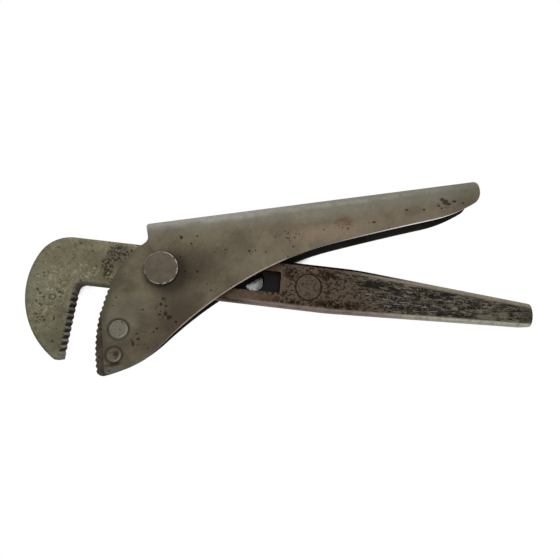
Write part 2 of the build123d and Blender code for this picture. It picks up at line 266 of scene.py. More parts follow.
outerLook = {
    "left": (110, 103, 85),
    "leftMottle": (87, 80, 67),
    "right": (119, 109, 92),
    "rightMottle": (110, 101, 86),
    "leftToRight": (5.0, 70.0),
    "clouds": {"Size": 16.0, "Low": 0.38, "High": 0.64},
    "grains": [(0.7, 0.07), (2.6, 0.06)],  # size and strength
    "patches": [  # centre, reach, colour and strength
        # the first patch darkens the cheek right of the pin: painted shade, partly grime
        ((13, -1), (22, 14), (75, 67, 55), 0.88),
        ((-9, -31), (10, 6), (83, 73, 62), 0.75),
        ((3, -24), (17, 13), (78, 67, 56), 0.9),
        ((-20, -21), (10, 10), (115, 111, 97), 0.7),
        ((4, -14), (14, 9), (78, 69, 57), 0.7),
        ((-14, -14), (9, 5.5), (102, 98, 85), 0.75),
        ((-23.5, -38.4), (7.5, 3.0), (99, 95, 91), 0.9),
        ((-23.5, -35.6), (5.4, 1.1), (58, 50, 43), 0.9),
        ((83, 8.6), (7, 4), (104, 84, 65), 0.75),
        ((104, 9), (4, 2.2), (107, 91, 74), 0.65),
        ((146, 11), (10, 8), (93, 85, 71), 0.75),
        ((73, 5), (26, 6), (134, 118, 99), 0.75),
        ((117, 9), (9, 4), (97, 90, 76), 0.65),
    ],
    # a painted shadow of the pin head, partly grime
    "pinShadeAndGrime": (53, 46, 40),
    "pinShadeAndGrimePlace": (2.6, -2.4),
    "pinShadeAndGrimeEdge": (12.0, 5.5, 0.0, 0.85),
    "rivetRings": [((-20.09, -21.97), 4.3), ((-23.14, -31.9), 3.4)],
    "rivetRingEdge": (0.6, 0.15, 0.0, 0.5),
    "front": (76, 71, 56),
    "frontAmount": 0.7,
    "frontWidth": 4.5,
    "frontRun": (0.0, -8.0),
    "jawArc": ((36.1, -37.5), 66.4),
    # a painted grey sheen towards the fold
    "foldSheen": (119, 117, 105),
    "foldSheenLeft": (130, 128, 121),
    "foldBlend": (5.0, 60.0),
    "foldStart": (10.0, 75.0, 12.0, 9.5),  # two places along the handle, and the height at each
    "foldFull": (10.0, 75.0, 20.0, 15.5),
    "foldAmount": 0.85,
    # a painted highlight on the fold's crest
    "crestHighlight": (156, 154, 148),
    "crestFacing": (0.2, 0.75),
    "crestRun": (95.0, 20.0, 0.2, 0.8),
    "gripEnd": (98, 91, 78),
    "gripEndRun": (126.0, 150.0, 0.0, 0.5),
    "pit": (42, 35, 27),
    "pitAmount": 0.75,
    "fewPits": {"Cell": 3.2, "Size": 0.16, "Amount": 0.16},
    "fewPitsHeight": (11.0, 7.0),
    "crowdedPits": {"Cell": 1.2, "Size": 0.44, "Amount": 0.42},
    "clusters": [
        ((-1.5, -16), (6, 7)),
        ((-13, -27), (8, 5)),
        ((27, 3.6), (8, 2.6)),
        ((41, 1.2), (6, 2.6)),
        ((56, 6), (11, 4.5)),
        ((134, 10.3), (6, 3)),
        ((82, 8), (6, 4)),
    ],
    "clusterEdge": {"Ragged": 0.9, "Grain": 0.25, "Soft": 0.8},
    "spots": [
        ((133.5, 12.9), (1.5, 1.1)),
        ((134.8, 11.6), (1.9, 1.5)),
        ((136.3, 10.3), (1.6, 0.9)),
        ((131.1, 10.1), (0.9, 0.7)),
        ((132.2, 8.7), (0.7, 0.8)),
        ((139.5, 11.2), (1.3, 0.7)),
        ((144.0, 9.8), (0.8, 0.6)),
        ((123.1, 9.3), (0.9, 0.6)),
        ((114.3, 10.3), (1.0, 0.6)),
        ((97.1, 6.7), (1.1, 0.6)),
        ((84.0, 5.4), (0.7, 0.6)),
        ((57.3, 0.9), (0.6, 0.5)),
        ((10.1, 11.8), (0.8, 1.1)),
        ((13.8, 8.6), (0.5, 0.6)),
        ((16.8, 11.5), (0.5, 0.5)),
        ((37.7, 1.8), (0.7, 0.6)),
        ((14.5, -3.8), (0.6, 0.7)),
        ((-4.3, 4.6), (1.0, 0.8)),
        ((-1.1, -12.8), (0.6, 0.8)),
        ((-2.3, -14.9), (0.7, 0.9)),
        ((-0.3, -16.0), (0.6, 0.6)),
        ((-1.0, -19.0), (0.8, 1.2)),
        ((-0.2, -20.8), (0.8, 1.2)),
        ((0.8, -20.9), (0.5, 0.8)),
        ((-3.5, -18.9), (0.8, 0.5)),
        ((2.5, -23.1), (0.7, 0.6)),
        ((-5.3, -24.5), (0.7, 0.6)),
        ((-15.4, -28.8), (0.7, 1.2)),
        ((-13.2, -27.4), (0.9, 0.7)),
    ],
    "spotEdge": {"Ragged": 1.1, "Grain": 1.2, "Soft": 0.4},
    # worn metal and a painted highlight along the throat's edge
    "throat": (188, 177, 161),
    "throatArc": ((94.83, -167.0), 168.2),
    "throatEdge": (0.5, 0.15, 0.0, 0.7),
    "throatStart": (-4.0, 8.0),
    "throatEnd": (56.0, 50.0),
    "throatGrain": (1.5, 0.2),
    "belowFacing": (0.3, 0.0),
    "cut": (238, 236, 231),
    "cutFront": (166, 153, 139),
    "cutTeeth": (108, 102, 90),
    "cutFacing": (0.6, 0.3),
    "teethToFront": (-12.0, -2.0),
    "wearScale": 0.4,
    "wear": (0.25, 0.55, 0.75, 1.0),
    "gripPolish": (55.0, 125.0),
    "rubStart": (26.0, 32.0),
    "rubEnd": (55.0, 51.0, 0.0, 0.6),
    "polishFacing": (-0.4, -0.75),
    # painted shade on the far cheek's edges, and shade with grime inside the channel
    "inside": (76, 74, 71),
    "insideMottle": (62, 57, 51),
    "insideHalf": (5.25, 5.02),  # half widths of the channel
    "insideGrain": (0.8, 0.12),
    "fineScale": 1.1,
    "fineHeight": 0.25,
    "depth": 0.12,
    "roughness": (0.47, 0.6),  # between the clouds and in them
    "metallic": (0.35, 1.0),  # on the skin and on bare edges
    "dullMetal": 0.3,  # what pits and the inside keep of it
}


def outerMaterial(look):
    material, sheet = newMaterial("pressedSteel")
    place, normal, _ = partPlace(sheet)
    along, across, height = sheet.split(place)
    clouds = sheet.use(mottle, Vector=place, **look["clouds"])
    left = sheet.mix(clouds, tone(look["left"]), tone(look["leftMottle"]))
    right = sheet.mix(clouds, tone(look["right"]), tone(look["rightMottle"]))
    color = sheet.mix(sheet.ramp(along, *look["leftToRight"]), left, right)
    color = patchwork(sheet, place, color, look["patches"])
    # painted shadow of the pin head, partly grime, darkest at its lower right; and dark rings round the
    # rivets
    pinShadeAndGrimeMask = sheet.ramp(sheet.away(place, look["pinShadeAndGrimePlace"]), *look["pinShadeAndGrimeEdge"])
    color = sheet.mix(pinShadeAndGrimeMask, color, tone(look["pinShadeAndGrime"]))
    for center, radius in look["rivetRings"]:
        ring = sheet.gap(sheet.away(place, center), radius)
        color = sheet.mix(sheet.ramp(ring, *look["rivetRingEdge"]), color, tone(look["pit"]))
    # darker along the jaw; a painted grey sheen towards the fold
    center, radius = look["jawArc"]
    front = sheet.away(place, center)
    front = sheet.ramp(front, radius - look["frontWidth"], radius, 0.0, look["frontAmount"])
    front = sheet.times(front, sheet.ramp(along, *look["frontRun"]))
    color = sheet.mix(front, color, tone(look["front"]))
    foldSheen = sheet.mix(sheet.ramp(along, *look["foldBlend"]), tone(look["foldSheenLeft"]), tone(look["foldSheen"]))
    start = sheet.ramp(along, *look["foldStart"])
    full = sheet.ramp(along, *look["foldFull"])
    color = sheet.mix(sheet.ramp(across, start, full, 0.0, look["foldAmount"]), color, foldSheen)
    # painted highlight along the fold's crest, where it faces up
    crestHighlight = sheet.times(sheet.ramp(normal[1], *look["crestFacing"]), sheet.ramp(along, *look["crestRun"]))
    color = sheet.mix(crestHighlight, color, tone(look["crestHighlight"]))
    color = sheet.mix(sheet.ramp(along, *look["gripEndRun"]), color, tone(look["gripEnd"]))
    for size, amount in look["grains"]:
        color = grain(sheet, place, color, size, amount)
    # pits, scattered, crowded and single
    few = sheet.use(pitSpots, Vector=place, **look["fewPits"])
    few = sheet.times(few, sheet.ramp(across, *look["fewPitsHeight"]))
    crowd = sheet.use(pitSpots, Vector=place, **look["crowdedPits"])
    crowd = sheet.times(crowd, spotMask(sheet, place, look["clusters"], look["clusterEdge"]))
    pits = sheet.most(few, crowd, spotMask(sheet, place, look["spots"], look["spotEdge"]))
    color = sheet.mix(sheet.times(pits, look["pitAmount"]), color, tone(look["pit"]))
    # the near cheek's throat is painted pale along its edge: rubbed metal and a painted edge highlight
    center, radius = look["throatArc"]
    throat = sheet.ramp(sheet.less(sheet.away(place, center), radius), *look["throatEdge"])
    run = sheet.times(sheet.ramp(along, *look["throatStart"]), sheet.ramp(along, *look["throatEnd"]))
    throat = sheet.times(throat, run, sheet.ramp(normal[2], *layout["facingUp"]))
    color = sheet.mix(throat, color, grain(sheet, place, tone(look["throat"]), *look["throatGrain"]))
    # sheared edges, brightest under the near cheek's grip
    below = sheet.ramp(normal[1], *look["belowFacing"])
    cut = sheet.times(sheet.ramp(sheet.math("ABSOLUTE", normal[2]), *look["cutFacing"]), below)
    cut = sheet.times(cut, sheet.ramp(sheet.noise(place, look["wearScale"])["Fac"], *look["wear"]))
    near = sheet.math("GREATER_THAN", height, layout["middle"])
    rub = sheet.times(sheet.ramp(along, *look["rubStart"]), sheet.ramp(along, *look["rubEnd"]))
    polish = sheet.most(sheet.ramp(along, *look["gripPolish"]), rub)
    polish = sheet.times(polish, sheet.ramp(normal[1], *look["polishFacing"]))
    front = sheet.ramp(along, *look["teethToFront"])
    edge = sheet.mix(front, tone(look["cutTeeth"]), tone(look["cutFront"]))
    edge = sheet.mix(polish, edge, tone(look["cut"]))
    # the far cheek's edges and the inside of the channel are dull and dark: painted shade, with grime
    # inside the channel
    inside = sheet.mix(clouds, tone(look["inside"]), tone(look["insideMottle"]))
    color = sheet.mix(cut, color, sheet.mix(near, inside, edge))
    within = sheet.times(sheet.ramp(sheet.gap(height, layout["middle"]), *look["insideHalf"]), below)
    color = sheet.mix(within, color, grain(sheet, place, inside, *look["insideGrain"]))
    bright = sheet.times(cut, near)
    metal = sheet.between(sheet.times(bright, polish), *look["metallic"])
    dull = sheet.most(pits, sheet.most(within, sheet.less(cut, bright)))
    metal = sheet.times(metal, sheet.between(dull, 1.0, look["dullMetal"]))
    fine = sheet.times(sheet.noise(place, look["fineScale"])["Fac"], look["fineHeight"])
    rough = sheet.between(clouds, *look["roughness"])
    surface(sheet, color, rough, metal, sheet.less(fine, pits), look["depth"])
    return material


innerLook = {
    "hook": (125, 121, 99),
    "hookMottle": (110, 106, 85),
    "hookClouds": {"Size": 5.0, "Low": 0.36, "High": 0.66},
    "hookBlotch": (89, 85, 65),
    "hookBlotches": {"Size": 1.7, "Low": 0.5, "High": 0.6},
    "hookBlotchAmount": 0.55,
    "hookGrain": (1.2, 0.1),
    "hookToBar": (-12.0, 6.0),
    "brown": (93, 80, 68),
    "brownDark": (38, 29, 20),
    "blots": {"Length": 1.5, "Width": 1.05, "Low": 0.49, "High": 0.56},
    "blotsInRing": (-1.5, 0.5, 0.55, 0.9),  # fainter inside the struck ring
    "smudgeClouds": {"Size": 1.5, "Low": 0.42, "High": 0.5},
    "smudges": [
        ((72.8, 5.4), (6, 3.4)),
        ((56, 4.8), (4.4, 4.2)),
        ((78, -7.6), (19, 2.6)),
        ((50, -8.3), (8, 1.8)),
        ((59, -8.6), (6, 2.6)),
    ],
    "smudgeEdge": {"Ragged": 1.0, "Grain": 0.3, "Soft": 0.6},
    "bare": [((34, -7.2), (20, 2.6)), ((53, 0), (3.4, 3.4)), ((82, 6.5), (5, 2.2))],
    "bareEdge": {"Ragged": 0.8, "Grain": 0.3, "Soft": 0.5},
    "bareBlots": 0.3,
    "patches": [
        ((-47, -11), (8, 15), (121, 118, 98), 0.75),
        ((-42, 0), (10, 6), (114, 106, 87), 0.6),
        ((-38, -33), (9, 9), (94, 90, 74), 0.75),
        ((-25, 0), (9, 9), (101, 95, 76), 0.65),
        ((-25, -6.8), (5, 2.2), (92, 77, 62), 0.5),
        ((-37, -23), (2.6, 9), (95, 85, 75), 0.6),
        ((-18.5, 2.5), (6, 7), (92, 87, 75), 0.65),
        ((46, -7.8), (9, 2.6), (86, 64, 54), 0.7),
        ((47, 6.5), (8, 3), (86, 68, 58), 0.6),
    ],
    "fleck": (158, 153, 132),
    "fleckClouds": {"Size": 1.2, "Low": 0.53, "High": 0.62},
    "fleckAmount": 0.6,
    "flecked": [((-43, -14), (10, 15)), ((-30, -4), (7, 5))],
    "fleckedEdge": {"Ragged": 0.8, "Grain": 0.2, "Soft": 0.7},
    # where each edge of the bar turns, its height there, and its slopes before and after
    "topLine": (86.0, 9.75, 0.0, -0.077),
    "lowLine": (75.0, -11.1, -0.0174, 0.0258),
    "tail": (106, 98, 82),
    "tailRun": (80.0, 112.0),
    "tailLean": 1.3,
    "tailRagged": (0.3, 30.0),  # scale and reach
    "tailEnd": (62, 60, 52),
    "tailEndAmount": 0.6,
    "tailEndSpots": [((173.5, -2.8), (6, 6.5))],
    "tailEndEdge": {"Ragged": 0.8, "Grain": 0.4, "Soft": 0.7},
    "olive": (120, 117, 95),
    "oliveAmount": 0.75,
    "oliveSpots": [((160.6, -4), (4.5, 2.2)), ((152, -6), (8, 1.6))],
    "oliveEdge": {"Ragged": 1.1, "Grain": 0.35, "Soft": 0.7},
    "scale": (32, 29, 24),
    "scaleMottle": (65, 59, 53),
    "scaleClouds": {"Length": 6.0, "Width": 1.5, "Low": 0.45, "High": 0.6},
    "scaleFleck": (142, 133, 124),
    "scaleStreaks": {"Length": 4.2, "Width": 0.75, "Low": 0.53, "High": 0.6},
    "scaleStreakAmount": 0.8,
    "scaleChips": {"Size": 1.1, "Low": 0.55, "High": 0.62},
    "scaleChipAmount": 0.5,
    "dense": [
        ((93, 3.4), (11, 2.6)),
        ((104, 1.4), (7, 2.4)),
        ((130, 3.2), (9, 1.7)),
        ((147, 3.4), (8, 1.2)),
        ((134, -6.6), (17, 0.9)),
        ((157, -6.2), (8, 0.8)),
        ((162, 1.2), (5, 0.9)),
    ],
    "denseEdge": {"Ragged": 1.0, "Grain": 0.35, "Soft": 0.6},
    "denseChips": 0.12,
    "coatStreaks": {"Length": 5.0, "Width": 1.0},
    "coatRun": (70.0, 102.0),
    "coatEnd": (176.0, 150.0, 0.8, 1.0),
    "coatThin": 0.66,
    "coatGain": 0.27,
    "coatSoft": 0.05,
    "coatFromTop": (1.5, 2.9),
    "coatFromLow": (1.3, 2.2),
    "coatStart": (66.0, 78.0),
    "coatAmount": 0.95,
    "coatHeight": 0.5,
    "grain": (0.6, 0.14),
    "pit": (36, 32, 24),
    "pitAmount": 0.65,
    "fewPits": {"Cell": 2.2, "Size": 0.22, "Amount": 0.3},
    "fewPitsRun": (5.0, -8.0),
    "crowdedPits": {"Cell": 1.3, "Size": 0.42, "Amount": 0.36},
    "clusters": [
        ((-46, -16.5), (4.5, 7)),
        ((-38.6, -14.8), (2.6, 3.6)),
        ((-45, -24), (4, 4.5)),
        ((-47, -8), (3, 4)),
    ],
    "clusterEdge": {"Ragged": 0.9, "Grain": 0.25, "Soft": 0.7},
    "pitRing": ((-41.4, -15.9), 1.15),
    "pitRingWobble": (0.9, 3.0),
    "pitRingEdge": (0.5, 0.15, 0.0, 0.8),
    "spots": [
        ((-47.5, -13.3), (0.6, 0.7)),
        ((-46.2, -15.0), (0.7, 0.7)),
        ((-44.7, -16.2), (0.8, 0.7)),
        ((-47.1, -18.3), (0.6, 0.6)),
        ((-45.7, -19.3), (0.8, 0.5)),
        ((-43.9, -24.2), (0.7, 0.9)),
        ((-43.0, -25.5), (0.9, 0.7)),
        ((-46.3, -23.3), (0.6, 0.7)),
        ((-45.7, -26.2), (0.7, 0.6)),
        ((-39.0, -13.6), (0.9, 0.8)),
        ((-37.9, -14.1), (0.7, 0.9)),
        ((-38.5, -15.6), (0.9, 0.6)),
        ((-39.4, -24.7), (0.5, 1.2)),
        ((-38.7, -33.5), (0.7, 0.8)),
        ((-33.9, 7.3), (0.8, 0.7)),
    ],
    "spotEdge": {"Ragged": 1.6, "Grain": 1.0, "Soft": 0.6},
    "crust": [((-17.5, 4.5), (6.5, 4.6)), ((-22, -1.5), (3.2, 6)), ((-20.5, -7.0), (1.8, 1.8))],
    "crustEdge": {"Ragged": 1.3, "Grain": 0.35, "Soft": 0.4},
    "crustClouds": {"Size": 0.72, "Low": 0.48, "High": 0.55},
    "crustAmount": 0.8,
    "strike": (40, 31, 23),
    "strikeRing": ((64.1, -0.8), 5.9, 0.42),  # centre, radius and half width
    "strikeCore": 0.3,
    "strikeAmount": 0.9,
    "strikeDepth": 2.5,
    "edgeStart": (30.0, 45.0),
    "wearScale": 0.35,
    "wear": (0.3, 0.55, 0.6, 1.0),
    # rubbed bare metal and a painted highlight along the bar's bottom edge
    "lowEdge": (152, 139, 131),
    "lowEdgeTail": (200, 199, 184),
    "lowEdgeRun": (85.0, 125.0),
    "lowEdgeWidth": (2.1, 0.8),
    "lowEdgeAmount": 0.9,
    "lowEdgeGrain": (1.4, 0.12),
    "topEdge": (140, 134, 117),
    "topEdgeRun": (80.0, 100.0, 0.0, 0.85),
    "topEdgeWidth": (2.7, 1.4),
    "topEdgeGrain": (1.6, 0.2),
    # painted shade along the bar's top edge
    "topEdgeShade": (12, 10, 8),
    "topDarkRun": (124.0, 90.0),
    "topDarkWidth": (1.4, 0.85),
    "topDarkFacing": (0.1, 0.35, 0.45, 1.0),
    "wallFacing": (0.75, 0.3),
    "wallRun": (-6.0, -14.0),
    "wallAmount": 0.9,
    "toothFace": (112, 109, 101),
    "toothLit": (164, 160, 149),
    "toothLitTip": (203, 199, 188),
    "toothLitRun": (-16.0, -36.0),
    "toothLitFacing": (0.15, 0.45),
    "toothShade": (92, 89, 83),
    "toothShadeFacing": (-0.05, -0.4),
    "toothTip": (184, 180, 173),
    "toothTipRun": (-37.5, -38.8),
    "toothGrain": (0.5, 0.15),
    "neckShade": (156, 151, 141),
    "neckFacing": (-0.65, -0.9),
    "cornerShade": (184, 178, 168),
    "cornerStart": (-15.0, -13.0),
    "cornerEnd": (-9.5, -10.5),
    "cornerAmount": 0.8,
    "recess": (43, 40, 43),
    # a painted reflection towards the pocket's top, and painted shade on its walls
    "recessReflection": (60, 50, 46),
    "recessRise": (0.5, 4.5),
    "recessWallShade": (22, 20, 20),
    "recessWallFacing": (0.7, 0.4),
    "recessGrain": (0.6, 0.15),
    "pocket": ((-11.5, 51.22), 4.75),  # its ends and half width
    "pocketLead": 0.2,
    "pocketEdge": (0.15, 0.05),
    "pocketDeep": (4.6, 4.4),  # half thicknesses of the bar
    "fineScale": 1.0,
    "fineHeight": 0.3,
    "depth": 0.14,
    "roughness": (0.52, 0.64),  # bare and under scale
    "metallic": 0.35,
    "coatDull": 0.8,
    "blackMetal": 0.6,  # what scale and crust keep of it
}


def hookColor(sheet, place, look):
    clouds = sheet.use(mottle, Vector=place, **look["hookClouds"])
    color = sheet.mix(clouds, tone(look["hook"]), tone(look["hookMottle"]))
    blotch = sheet.use(mottle, Vector=place, **look["hookBlotches"])
    color = sheet.mix(sheet.times(blotch, look["hookBlotchAmount"]), color, tone(look["hookBlotch"]))
    return grain(sheet, place, color, *look["hookGrain"])


def brownColor(sheet, place, look):
    blots = sheet.use(streaks, Vector=place, **look["blots"])
    center, radius, _ = look["strikeRing"]
    near, far, faint, full = look["blotsInRing"]
    clear = sheet.ramp(sheet.away(place, center), radius + near, radius + far, faint, full)
    bare = spotMask(sheet, place, look["bare"], look["bareEdge"])
    clear = sheet.times(clear, sheet.between(bare, 1.0, look["bareBlots"]))
    smudge = sheet.use(mottle, Vector=place, **look["smudgeClouds"])
    smudge = sheet.times(smudge, spotMask(sheet, place, look["smudges"], look["smudgeEdge"]))
    blots = sheet.most(sheet.times(blots, clear), smudge)
    return sheet.mix(blots, tone(look["brown"]), tone(look["brownDark"]))


def scaleColor(sheet, place, look):
    # black forging scale, solid in places and chipped to pale streaks elsewhere
    dense = spotMask(sheet, place, look["dense"], look["denseEdge"])
    chipped = sheet.between(dense, 1.0, look["denseChips"])
    clouds = sheet.use(streaks, Vector=place, **look["scaleClouds"])
    flecks = sheet.use(streaks, Vector=place, **look["scaleStreaks"])
    flecks = sheet.times(flecks, look["scaleStreakAmount"])
    chips = sheet.use(mottle, Vector=place, **look["scaleChips"])
    flecks = sheet.most(flecks, sheet.times(chips, look["scaleChipAmount"]))
    color = sheet.mix(sheet.times(clouds, chipped), tone(look["scale"]), tone(look["scaleMottle"]))
    return sheet.mix(sheet.times(flecks, chipped), color, tone(look["scaleFleck"]))


def lineOffset(sheet, along, across, line):
    # distance across the bar from one of its edges, which turns at the line's start
    start, level, before, after = line
    run = sheet.less(along, start)
    fall = sheet.times(sheet.math("MINIMUM", run, 0.0), before)
    rise = sheet.times(sheet.most(run, 0.0), after)
    ideal = sheet.math("ADD", sheet.math("ADD", fall, rise), level)
    return sheet.gap(across, ideal)


def coatMask(sheet, place, along, run, fromTop, fromLow, look):
    # scale that starts along the top, breaks up in streaks and stays off the edges
    cover = sheet.times(sheet.ramp(run, *look["coatRun"]), sheet.ramp(along, *look["coatEnd"]))
    low = sheet.less(look["coatThin"], sheet.times(cover, look["coatGain"]))
    high = sheet.math("ADD", low, look["coatSoft"])
    coat = sheet.use(streaks, Vector=place, **look["coatStreaks"], Low=low, High=high)
    inner = sheet.ramp(fromTop, *look["coatFromTop"])
    inner = sheet.times(inner, sheet.ramp(fromLow, *look["coatFromLow"]))
    return sheet.times(coat, inner, sheet.ramp(along, *look["coatStart"]))


def hookPits(sheet, place, along, look):
    few = sheet.use(pitSpots, Vector=place, **look["fewPits"])
    few = sheet.times(few, sheet.ramp(along, *look["fewPitsRun"]))
    crowd = sheet.use(pitSpots, Vector=place, **look["crowdedPits"])
    crowd = sheet.times(crowd, spotMask(sheet, place, look["clusters"], look["clusterEdge"]))
    center, radius = look["pitRing"]
    wander = sheet.less(sheet.noise(place, *look["pitRingWobble"])["Fac"], 0.5)
    ring = sheet.gap(sheet.math("ADD", sheet.away(place, center), wander), radius)
    ring = sheet.ramp(ring, *look["pitRingEdge"])
    return sheet.most(few, crowd, ring, spotMask(sheet, place, look["spots"], look["spotEdge"]))


def toothColor(sheet, across, normal, look):
    # the teeth's upper sides are lit, and so are the tip and the corner under the neck
    turn = math.radians(layout["handleSpread"])
    inputs = {0: normal, 1: (math.sin(turn), math.cos(turn), 0)}
    facing = sheet.add("VectorMath", inputs, operation="DOT_PRODUCT").outputs["Value"]
    tip = sheet.ramp(across, *look["toothLitRun"])
    lit = sheet.mix(tip, tone(look["toothLit"]), tone(look["toothLitTip"]))
    color = sheet.mix(sheet.ramp(facing, *look["toothLitFacing"]), tone(look["toothFace"]), lit)
    color = sheet.mix(sheet.ramp(facing, *look["toothShadeFacing"]), color, tone(look["toothShade"]))
    color = sheet.mix(sheet.ramp(facing, *look["neckFacing"]), color, tone(look["neckShade"]))
    color = sheet.mix(sheet.ramp(across, *look["toothTipRun"]), color, tone(look["toothTip"]))
    corner = sheet.times(sheet.ramp(across, *look["cornerStart"]), sheet.ramp(across, *look["cornerEnd"]))
    return sheet.mix(sheet.times(corner, look["cornerAmount"]), color, tone(look["cornerShade"]))


def pocketMask(sheet, along, across, height, look):
    (start, end), half = look["pocket"]
    soft, hard = look["pocketEdge"]
    mask = sheet.ramp(along, start - look["pocketLead"], start)
    mask = sheet.times(mask, sheet.ramp(along, end + soft, end + hard))
    mask = sheet.times(mask, sheet.ramp(sheet.math("ABSOLUTE", across), half + soft, half + hard))
    return sheet.times(mask, sheet.ramp(sheet.gap(height, layout["middle"]), *look["pocketDeep"]))


def innerMaterial(look):
    material, sheet = newMaterial("forgedSteel")
    place, normal, source = partPlace(sheet, layout["handleSpread"])
    along, across, height = sheet.split(place)
    hook = hookColor(sheet, place, look)
    color = sheet.mix(sheet.ramp(along, *look["hookToBar"]), hook, brownColor(sheet, place, look))
    color = patchwork(sheet, place, color, look["patches"])
    flecks = sheet.use(mottle, Vector=place, **look["fleckClouds"])
    flecks = sheet.times(flecks, spotMask(sheet, place, look["flecked"], look["fleckedEdge"]))
    color = sheet.mix(sheet.times(flecks, look["fleckAmount"]), color, tone(look["fleck"]))
    # the tail, mostly under scale
    fromTop = lineOffset(sheet, along, across, look["topLine"])
    fromLow = lineOffset(sheet, along, across, look["lowLine"])
    scale, reach = look["tailRagged"]
    ragged = sheet.times(sheet.less(sheet.noise(place, scale)["Fac"], 0.5), reach)
    run = sheet.math("ADD", along, sheet.times(across, look["tailLean"]))
    run = sheet.math("ADD", run, ragged)
    color = sheet.mix(sheet.ramp(run, *look["tailRun"]), color, tone(look["tail"]))
    coat = coatMask(sheet, place, along, run, fromTop, fromLow, look)
    color = sheet.mix(sheet.times(coat, look["coatAmount"]), color, scaleColor(sheet, place, look))
    olive = spotMask(sheet, place, look["oliveSpots"], look["oliveEdge"])
    color = sheet.mix(sheet.times(olive, look["oliveAmount"]), color, tone(look["olive"]))
    blunt = spotMask(sheet, place, look["tailEndSpots"], look["tailEndEdge"])
    color = sheet.mix(sheet.times(blunt, look["tailEndAmount"]), color, tone(look["tailEnd"]))
    color = grain(sheet, place, color, *look["grain"])
    # soft pits on the hook, and a dark crust beside the cheek
    crust = sheet.use(mottle, Vector=place, **look["crustClouds"])
    crust = sheet.times(crust, spotMask(sheet, place, look["crust"], look["crustEdge"]))
    pits = sheet.times(hookPits(sheet, place, along, look), look["pitAmount"])
    pits = sheet.most(pits, sheet.times(crust, look["crustAmount"]))
    color = sheet.mix(pits, color, tone(look["pit"]))
    # an empty struck ring
    center, radius, width = look["strikeRing"]
    strike = sheet.gap(sheet.away(place, center), radius)
    strike = sheet.ramp(strike, width, width * look["strikeCore"])
    strike = sheet.times(strike, sheet.ramp(normal[2], *layout["facingUp"]))
    color = sheet.mix(sheet.times(strike, look["strikeAmount"]), color, tone(look["strike"]))
    # along the bottom the edge is painted pale, partly rubbed bare and partly a painted highlight; along
    # the top a line of painted shade and then pale wear
    behind = sheet.ramp(along, *look["edgeStart"])
    rubbed = sheet.ramp(sheet.noise(place, look["wearScale"])["Fac"], *look["wear"])
    low = sheet.times(sheet.ramp(fromLow, *look["lowEdgeWidth"]), sheet.times(rubbed, behind))
    tail = sheet.ramp(along, *look["lowEdgeRun"])
    paleWearAndHighlight = sheet.mix(tail, tone(look["lowEdge"]), tone(look["lowEdgeTail"]))
    paleWearAndHighlight = grain(sheet, place, paleWearAndHighlight, *look["lowEdgeGrain"])
    color = sheet.mix(sheet.times(low, look["lowEdgeAmount"]), color, paleWearAndHighlight)
    top = sheet.times(sheet.ramp(fromTop, *look["topEdgeWidth"]), sheet.ramp(along, *look["topEdgeRun"]))
    color = sheet.mix(top, color, grain(sheet, place, tone(look["topEdge"]), *look["topEdgeGrain"]))
    # painted shade along the top edge, where its rounding faces up
    line = sheet.times(sheet.ramp(fromTop, *look["topDarkWidth"]), sheet.ramp(along, *look["topDarkRun"]))
    line = sheet.times(line, behind)
    topShade = sheet.times(line, sheet.ramp(normal[2], *look["topDarkFacing"]))
    color = sheet.mix(topShade, color, tone(look["topEdgeShade"]))
    # the hook's inner faces
    wall = sheet.ramp(sheet.math("ABSOLUTE", normal[2]), *look["wallFacing"])
    wall = sheet.times(wall, sheet.ramp(along, *look["wallRun"]))
    teeth = grain(sheet, place, toothColor(sheet, across, source, look), *look["toothGrain"])
    color = sheet.mix(sheet.times(wall, look["wallAmount"]), color, teeth)
    # milled pocket: a dark floor with a painted reflection towards its top, and painted shade on its
    # walls
    pocket = pocketMask(sheet, along, across, height, look)
    rise = sheet.ramp(across, *look["recessRise"])
    recess = sheet.mix(rise, tone(look["recess"]), tone(look["recessReflection"]))
    recess = sheet.mix(sheet.ramp(normal[2], *look["recessWallFacing"]), recess, tone(look["recessWallShade"]))
    color = sheet.mix(pocket, color, grain(sheet, place, recess, *look["recessGrain"]))
    dull = sheet.less(1.0, sheet.most(wall, pocket, line))
    black = sheet.most(crust, sheet.times(coat, look["coatDull"]))
    dull = sheet.times(dull, sheet.between(black, 1.0, look["blackMetal"]))
    metal = sheet.times(dull, look["metallic"])
    fine = sheet.times(sheet.noise(place, look["fineScale"])["Fac"], look["fineHeight"])
    sunk = sheet.most(pits, sheet.times(strike, look["strikeDepth"]))
    relief = sheet.math("ADD", sheet.less(fine, sunk), sheet.times(coat, look["coatHeight"]))
    surface(sheet, color, sheet.between(coat, *look["roughness"]), metal, relief, look["depth"])
    return material


insertLook = {
    "face": (80, 73, 63),
    "mottle": (65, 58, 50),
    "clouds": {"Size": 4.0, "Low": 0.4, "High": 0.62},
    "grain": (0.6, 0.12),
    "pit": (34, 31, 26),
    "pits": {"Cell": 1.6, "Size": 0.4, "Amount": 0.3},
    "pitAmount": 0.7,
    "fineScale": 1.2,
    "depth": 0.1,
    "roughness": 0.55,
    "metallic": 0.5,
}


def insertMaterial(look):
    material, sheet = newMaterial("jawSteel")
    place = partPlace(sheet)[0]
    clouds = sheet.use(mottle, Vector=place, **look["clouds"])
    color = sheet.mix(clouds, tone(look["face"]), tone(look["mottle"]))
    color = grain(sheet, place, color, *look["grain"])
    pits = sheet.use(pitSpots, Vector=place, **look["pits"])
    color = sheet.mix(sheet.times(pits, look["pitAmount"]), color, tone(look["pit"]))
    relief = sheet.less(sheet.noise(place, look["fineScale"])["Fac"], pits)
    surface(sheet, color, look["roughness"], look["metallic"], relief, look["depth"])
    return material


